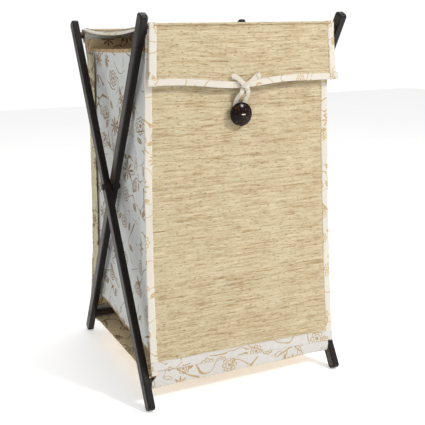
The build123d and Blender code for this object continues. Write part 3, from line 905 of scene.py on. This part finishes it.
def lid_surface(u, v):
    rear, flat, front = lid_line(60)
    y_all = np.concatenate([rear[:-1, 1], flat[:, 1], front[1:, 1]])
    z_fix = np.concatenate([rear[:-1, 2], np.full(60, np.nan), front[1:, 2]])
    z_all = np.where(np.isnan(z_fix), LID_TOP + LID_RISE, z_fix)
    s = np.concatenate([[0], np.cumsum(np.hypot(np.diff(y_all), np.diff(z_all)))])
    at = v * s[-1]
    y = np.interp(at, s, y_all)
    zf = np.interp(at, s, z_all)
    left = lid_left(y) + MAT_INSET
    right = lid_right(y) - MAT_INSET
    x = left + (right - left) * u
    inside = (y < REAR_HINGE.y) & (y > FRONT_HINGE.y)
    z = np.where(inside, lid_z(x, y), zf)
    return np.stack([x, y, z], -1)


LID_LENGTH = REAR_HINGE.y - FRONT_HINGE.y + 0.012
lid_mat_piece = straw("lid_straw", lambda u, v: lid_surface(u, 1 - v), LID_LENGTH, MAT_COLUMNS, straw_mat)
settle(lid_mat_piece, "lid", "woven_straw", "lid_mat")

yy = np.linspace(REAR_HINGE.y + 0.003, FRONT_HINGE.y - 0.002, 130)
for hand, edge, sign in (("left", lid_left, 1), ("right", lid_right, -1)):
    x = edge(yy) + sign * BIND_W / 2
    span = np.clip(1 - ((yy + 0.002) / 0.160) ** 2, 0, 1)
    tilt = -sign * (0.10 + 0.42 * span)
    z = lid_z(x, yy) - 0.0016 - 0.0022 * span
    z = z - 0.004 * np.clip((np.abs(yy + 0.0025) - 0.1705) / 0.004, 0, 1) ** 2
    centre = np.stack([x, yy, z], -1)
    across = np.stack([np.cos(tilt), np.zeros_like(tilt), -np.sin(tilt)], -1)
    out = np.stack([np.sin(tilt), np.zeros_like(tilt), np.cos(tilt)], -1)
    strip = loft("lid_binding_cloth_" + hand, centre, across, out, BIND_W / 2, BIND_HALF_T, cloth_bind,
                 BIND_AROUND, BIND_SQUARENESS, (0.5, 0.25))
    settle(strip, LID_STRIP_BODY[hand], "printed_cotton", "lid_binding_" + hand)
    seam = centre + across * (sign * STITCH_INSET) + out * BIND_HALF_T
    settle(stitch_row("lid_stitches_" + hand, seam[3:-3], out[3:-3], thread), LID_STRIP_BODY[hand], "thread")

u = np.linspace(0, 1, 70)
y = np.linspace(REAR_HINGE.y + 0.001, FRONT_HINGE.y - 0.001, 90)
U, Y = grid_of(u, y)
X = lid_left(Y) + 0.003 + (lid_right(Y) - lid_left(Y) - 0.006) * U
Z = lid_z(X, Y) - 0.0026
lid_lining_piece = sheet("lid_lining_cloth", np.stack([X, Y, Z], -1)[::-1], LINING_CLOTH_T, cloth_inside_warm_shade, (0.9, 0.3))
settle(lid_lining_piece, "lid", "lining_cotton", "lid_lining")

# the back panel's sheet going up behind the rear rail to the lid's rear edge
n = 160
top = smooth_path([(0, -panel_y(PANEL_TOP - 0.006) + 0.0034, PANEL_TOP - 0.006),
                   (0, -TOP_Y + 0.0086, PANEL_TOP + 0.0030),
                   (0, -TOP_Y + 0.0106, TOP_Z + 0.0010), (0, REAR_HINGE.y + 0.0040, REAR_HINGE.z - 0.0020),
                   (0, REAR_HINGE.y + 0.0040, REAR_HINGE.z + 0.0004),
                   (0, REAR_HINGE.y + 0.0022, REAR_HINGE.z + 0.0028)], 40)


def crest(u, v):
    at = v * (len(top) - 1)
    k = np.arange(len(top))
    y = np.interp(at, k, top[:, 1])
    z = np.interp(at, k, top[:, 2])
    return np.stack([-0.179 + 0.350 * u, y, z], -1)


crest_piece = straw("back_crest_straw", lambda u, v: crest(1 - u, v), 0.027, MAT_COLUMNS, straw_mat, 0.0004)
settle(crest_piece, "bag_back", "woven_straw")
for hand, x_at in (("left", -0.1818), ("right", 0.1735)):
    centre = top + np.array([x_at, 0, 0])
    along = unit(np.gradient(centre, axis=0))
    across = same_for(centre, (1.0, 0, 0))
    out = unit(np.cross(across, along)) * -1
    strip = loft("back_crest_binding_" + hand, centre, across, out, 0.0064, 0.0017, cloth_bind, 18, 4.0, (0.2, 0.6))
    settle(strip, "bag_back", "printed_cotton")


# ---- flap
def flap_left(z):
    t = np.clip((FLAP_HIGH.z - z) / 0.10, 0, 1.1)
    return -0.1800 - 0.0042 * t


def flap_right(z):
    t = np.clip((FLAP_HIGH.z - z) / 0.10, 0, 1.1)
    return 0.1830 + 0.0055 * t ** 1.3


def flap_bottom(x):
    """Lower edge of the flap: it dips where the tape pulls it down."""
    return 0.5672 - 0.0085 * np.exp(-((x + 0.006) / 0.075) ** 2) + 0.0012 * np.sin(x * 30)


FLAP_Y = FLAP_LOW.y


def flap_surface_at(x, s, total):
    """Point at distance s down the flap from the hinge's top."""
    quarter = knuckle(FRONT_HINGE, FRONT_HINGE.y - FLAP_Y - 0.0004, LID_TOP + 0.0008 - FRONT_HINGE.z, -1, 12)
    q = np.concatenate([[0], np.cumsum(np.hypot(np.diff(quarter[:, 1]), np.diff(quarter[:, 2])))])
    y = np.interp(s, q, quarter[:, 1])
    z = np.interp(s, q, quarter[:, 2])
    below = np.clip(s - q[-1], 0, None)
    part = np.clip(below / total, 0, 1)
    z = z - below
    wave = 0.0011 * np.sin(x * 21 + 0.8) + 0.0007 * np.sin(x * 47)
    corner = 0.0030 * np.clip((x - 0.15) / 0.04, 0, 1) ** 2
    pulled = 0.0009 * np.exp(-((x + 0.006) / 0.05) ** 2)
    y = y - part ** 1.5 * (np.abs(wave) + corner + 0.0022) + part * pulled
    return y, z


def flap_surface(u, v):
    x0 = -0.18 + 0.366 * u
    total = FRONT_HINGE.z - flap_bottom(x0)
    s = v * (total + 0.0075 - BIND_W * 0.55)
    y, z = flap_surface_at(x0, s, total)
    left = flap_left(z) + MAT_INSET
    right = flap_right(z) - MAT_INSET
    x = left + (right - left) * u
    return np.stack([x, y, z], -1)


flap_mat_piece = straw("flap_straw", lambda u, v: flap_surface(1 - u, 1 - v), 0.104, MAT_COLUMNS, straw_mat)
settle(flap_mat_piece, "flap", "woven_straw", "flap_mat")

u = np.linspace(0, 1, 70)
v = np.linspace(0.09, 1.0, 40)
U, V = grid_of(u, v)
P = flap_surface(0.02 + 0.96 * U, V) + np.array([0, 0.0022, 0])
P[..., 1] = np.minimum(P[..., 1], FRONT_HINGE.y + 0.0002)
flap_lining_piece = sheet("flap_lining_cloth", P, LINING_CLOTH_T, cloth_inside_warm_shade, (1.9, 0.3))
settle(flap_lining_piece, "flap", "lining_cotton", "flap_lining")

s = np.linspace(0.003, 1.0, 70)
for hand, edge, sign, x_at in (("left", flap_left, 1, -0.178), ("right", flap_right, -1, 0.187)):
    total = FRONT_HINGE.z - float(flap_bottom(x_at))
    y, z = flap_surface_at(np.full(70, x_at), s * (total + 0.0075), total)
    x = edge(z) + sign * BIND_W / 2
    centre = np.stack([x, y + 0.0006, z], -1)
    along = unit(np.gradient(centre, axis=0))
    across = unit(np.cross(along, np.cross(np.array([1.0, 0, 0]), along)))
    out = unit(np.cross(across, along))
    strip = loft("flap_binding_cloth_" + hand, centre, across, out, BIND_W / 2, BIND_HALF_T, cloth_bind,
                 BIND_AROUND, BIND_SQUARENESS, (0.8, 0.25 * sign))
    settle(strip, "flap", "printed_cotton", "flap_binding_" + hand)
    facing = np.sign((out @ np.array([0, -1, 0.3]))[:, None])
    seam = centre + across * (sign * STITCH_INSET) + out * BIND_HALF_T * facing
    row = stitch_row("flap_stitches_" + hand, seam[2:-5], out[2:-5] * facing[2:-5], thread)
    settle(row, "flap", "thread")

x = np.linspace(-0.1850, 0.1905, 150)
zb = flap_bottom(x)
total = FRONT_HINGE.z - zb
y, z = flap_surface_at(x, total + 0.0075 - BIND_W * 0.42, total)
centre = np.stack([x, y + 0.0003, zb + BIND_W * 0.40], -1)
along = unit(np.gradient(centre, axis=0))
out = same_for(centre, (0, -1.0, 0))
across = unit(np.cross(along, out))
bottom = loft("flap_binding_cloth_bottom", centre, across, out, BIND_W * 0.44,
              0.0022 + 0.0002 * np.sin(x * 130), cloth_bind, BIND_AROUND, 4.0, (0.33, 0.7))
settle(bottom, "flap", "printed_cotton", "flap_binding_bottom")
seam = centre + np.array([0, -0.0023, BIND_W * 0.30])
settle(stitch_row("flap_stitches_bottom", seam[3:-3], out[3:-3], thread), "flap", "thread")


# ---- tape loop, knot and tails
def tape(name, points, width, thick, normal, count=50, twist=0.0, replaced=()):
    path = smooth_path(points, count)
    along = unit(np.gradient(path, axis=0))
    normal = np.broadcast_to(unit(normal), path.shape)
    across = unit(np.cross(along, normal))
    out = unit(np.cross(across, along))
    if twist:
        t = np.linspace(0, twist, count)[:, None]
        across, out = across * np.cos(t) + out * np.sin(t), out * np.cos(t) - across * np.sin(t)
    w = width / 2 * (1 + 0.06 * np.sin(np.linspace(0, 9, count)))
    piece = loft(name, path, across, out, w, thick / 2, cloth_tape, 16, 3.0)
    settle(piece, "flap", "cotton_tape", *replaced)
    return piece


RIBBON_T = 0.0009


def near(place, offsets):
    return np.array(place) + np.array(offsets)


KNOT = Vector((-0.004, FLAP_Y - 0.0078, 0.5605))
SHANK = Vector((BUTTON.x, panel_y(BUTTON.z) - 0.0062, BUTTON.z))
behind = SHANK.y
tape("closure_strand_loop", [
    (KNOT.x - 0.0045, KNOT.y + 0.0020, KNOT.z - 0.001), (KNOT.x - 0.0078, KNOT.y + 0.0022, KNOT.z - 0.012),
    (KNOT.x - 0.0105, FLAP_Y + 0.0014, BUTTON.z + 0.030), (BUTTON.x - 0.0072, behind + 0.0006, BUTTON.z + 0.016),
    (BUTTON.x - 0.0072, behind, BUTTON.z + 0.003), (BUTTON.x - 0.0006, behind, BUTTON.z - 0.0072),
    (BUTTON.x + 0.0068, behind, BUTTON.z + 0.003), (BUTTON.x + 0.0104, behind + 0.0006, BUTTON.z + 0.016),
    (KNOT.x + 0.0077, FLAP_Y + 0.0014, BUTTON.z + 0.030), (KNOT.x + 0.0062, KNOT.y + 0.0022, KNOT.z - 0.012),
    (KNOT.x + 0.0036, KNOT.y + 0.0020, KNOT.z - 0.001)],
    0.0080, RIBBON_T, (0, -1, 0), 110, replaced=("closure_loop",))
tape("closure_tail_left", near(KNOT, [
    (0.003, 0, -0.001), (-0.007, -0.0005, 0.0065),
    (-0.016, 0.0010, 0.0150), (-0.0235, 0.0004, 0.0180),
    (-0.0275, 0.0010, 0.0172)]),
    0.0086, RIBBON_T, (0.1, -1, 0.2), 40, 0.3, replaced=("closure_tie",))
tape("closure_tail_right", near(KNOT, [
    (-0.003, 0, -0.001), (0.007, -0.0004, 0.0055),
    (0.0155, 0.0008, 0.0115), (0.0245, 0.0008, 0.0190)]),
    0.0094, RIBBON_T, (-0.1, -1, 0.2), 40, -0.25)
tape("closure_tail_end", near(KNOT, [
    (0.0215, -0.0004, 0.0175), (0.0262, -0.0008, 0.0200),
    (0.0262, -0.0002, 0.0135)]), 0.0056, 0.0013, (0, -1, 0), 20)
tape("closure_knot_wrap", near(KNOT, [
    (-0.0062, 0.0026, 0.0025), (-0.0052, -0.0012, 0.0018),
    (0, -0.0031, 0), (0.0052, -0.0012, -0.0016),
    (0.0062, 0.0026, -0.0022)]), 0.0082, 0.0016, (0, -1, 0.1), 30)
tape("closure_knot_cross", near(KNOT, [
    (-0.0020, 0.0022, 0.0058), (-0.0012, -0.0020, 0.0034),
    (0.0008, -0.0024, -0.0026), (0.0014, 0.0018, -0.0062)]),
    0.0078, 0.0015, (0, -1, 0), 26)

# ---- floor, light, camera
FLOOR_HALF = 6.0
floor = build("floor", [(-FLOOR_HALF, -FLOOR_HALF, 0), (FLOOR_HALF, -FLOOR_HALF, 0),
                        (FLOOR_HALF, FLOOR_HALF, 0), (-FLOOR_HALF, FLOOR_HALF, 0)], [(0, 1, 2, 3)],
              new_material("floor_paint", 0.9, 0.1)[0])
g = Graph(floor.data.materials[0].node_tree)
pale = g.mix(g.noise(g.object_coords(), 1.5, 2.0), srgb(250, 250, 250), srgb(255, 255, 255))
paint = floor.data.materials[0].node_tree.nodes["Principled BSDF"]
g.put(paint.inputs["Base Color"], pale)
paint.inputs["Emission Color"].default_value = (1.0, 1.0, 1.0, 1.0)
paint.inputs["Emission Strength"].default_value = 0.30

SKY_LIGHT, SKY_SEEN_EXTRA = 0.62, 0.4
scene = bpy.context.scene
scene.view_settings.view_transform = "Standard"
world = scene.world or bpy.data.worlds.new("world")
scene.world = world
world.use_nodes = True
world.node_tree.nodes["Background"].inputs["Color"].default_value = (1.0, 1.0, 1.0, 1)
sky = Graph(world.node_tree)
seen = sky.node("ShaderNodeLightPath").outputs["Is Camera Ray"]
strength = sky.add(SKY_LIGHT, sky.mul(seen, SKY_SEEN_EXTRA))
sky.put(world.node_tree.nodes["Background"].inputs["Strength"], strength)


def area_light(name, place, target, power, width, colour=(1, 1, 1)):
    data = bpy.data.lights.new(name, "AREA")
    data.energy = power
    data.size = width
    data.color = colour
    obj = bpy.data.objects.new(name, data)
    obj.location = place
    aim = Vector(target) - Vector(place)
    obj.rotation_euler = aim.to_track_quat("-Z", "Y").to_euler()
    scene.collection.objects.link(obj)


area_light("key", (1.2, -2.0, 2.1), (0, 0, 0.35), 44, 0.42, (1.0, 0.988, 0.968))
area_light("fill", (-2.2, -1.2, 1.2), (0, 0, 0.35), 3, 1.6)
area_light("top", (0.3, 0.4, 2.4), (0, 0, 0.3), 16, 1.6)

VIEW_FROM = (-0.62156, -1.25365, 0.63552)
VIEW_YAW, VIEW_PITCH, VIEW_ROLL = 0.392604, 0.192477, -0.022342
SENSOR, FOCAL_PIXELS, IMAGE_PIXELS = 36, 699.38, 425
VIEW_SHIFT = (0.1355, -0.075)
fwd = unit([math.sin(VIEW_YAW) * math.cos(VIEW_PITCH), math.cos(VIEW_YAW) * math.cos(VIEW_PITCH),
            -math.sin(VIEW_PITCH)])
level = np.array([math.cos(VIEW_YAW), -math.sin(VIEW_YAW), 0.0])
upward = np.cross(level, fwd)
side = math.cos(VIEW_ROLL) * level + math.sin(VIEW_ROLL) * upward
upward = -math.sin(VIEW_ROLL) * level + math.cos(VIEW_ROLL) * upward
data = bpy.data.cameras.new("camera")
data.sensor_width = SENSOR
data.lens = FOCAL_PIXELS / IMAGE_PIXELS * SENSOR
data.shift_x, data.shift_y = VIEW_SHIFT
camera = bpy.data.objects.new("camera", data)
turn = Matrix((side, upward, -fwd)).transposed().to_4x4()
camera.matrix_world = Matrix.Translation(Vector(VIEW_FROM)) @ turn
scene.collection.objects.link(camera)
scene.camera = camera
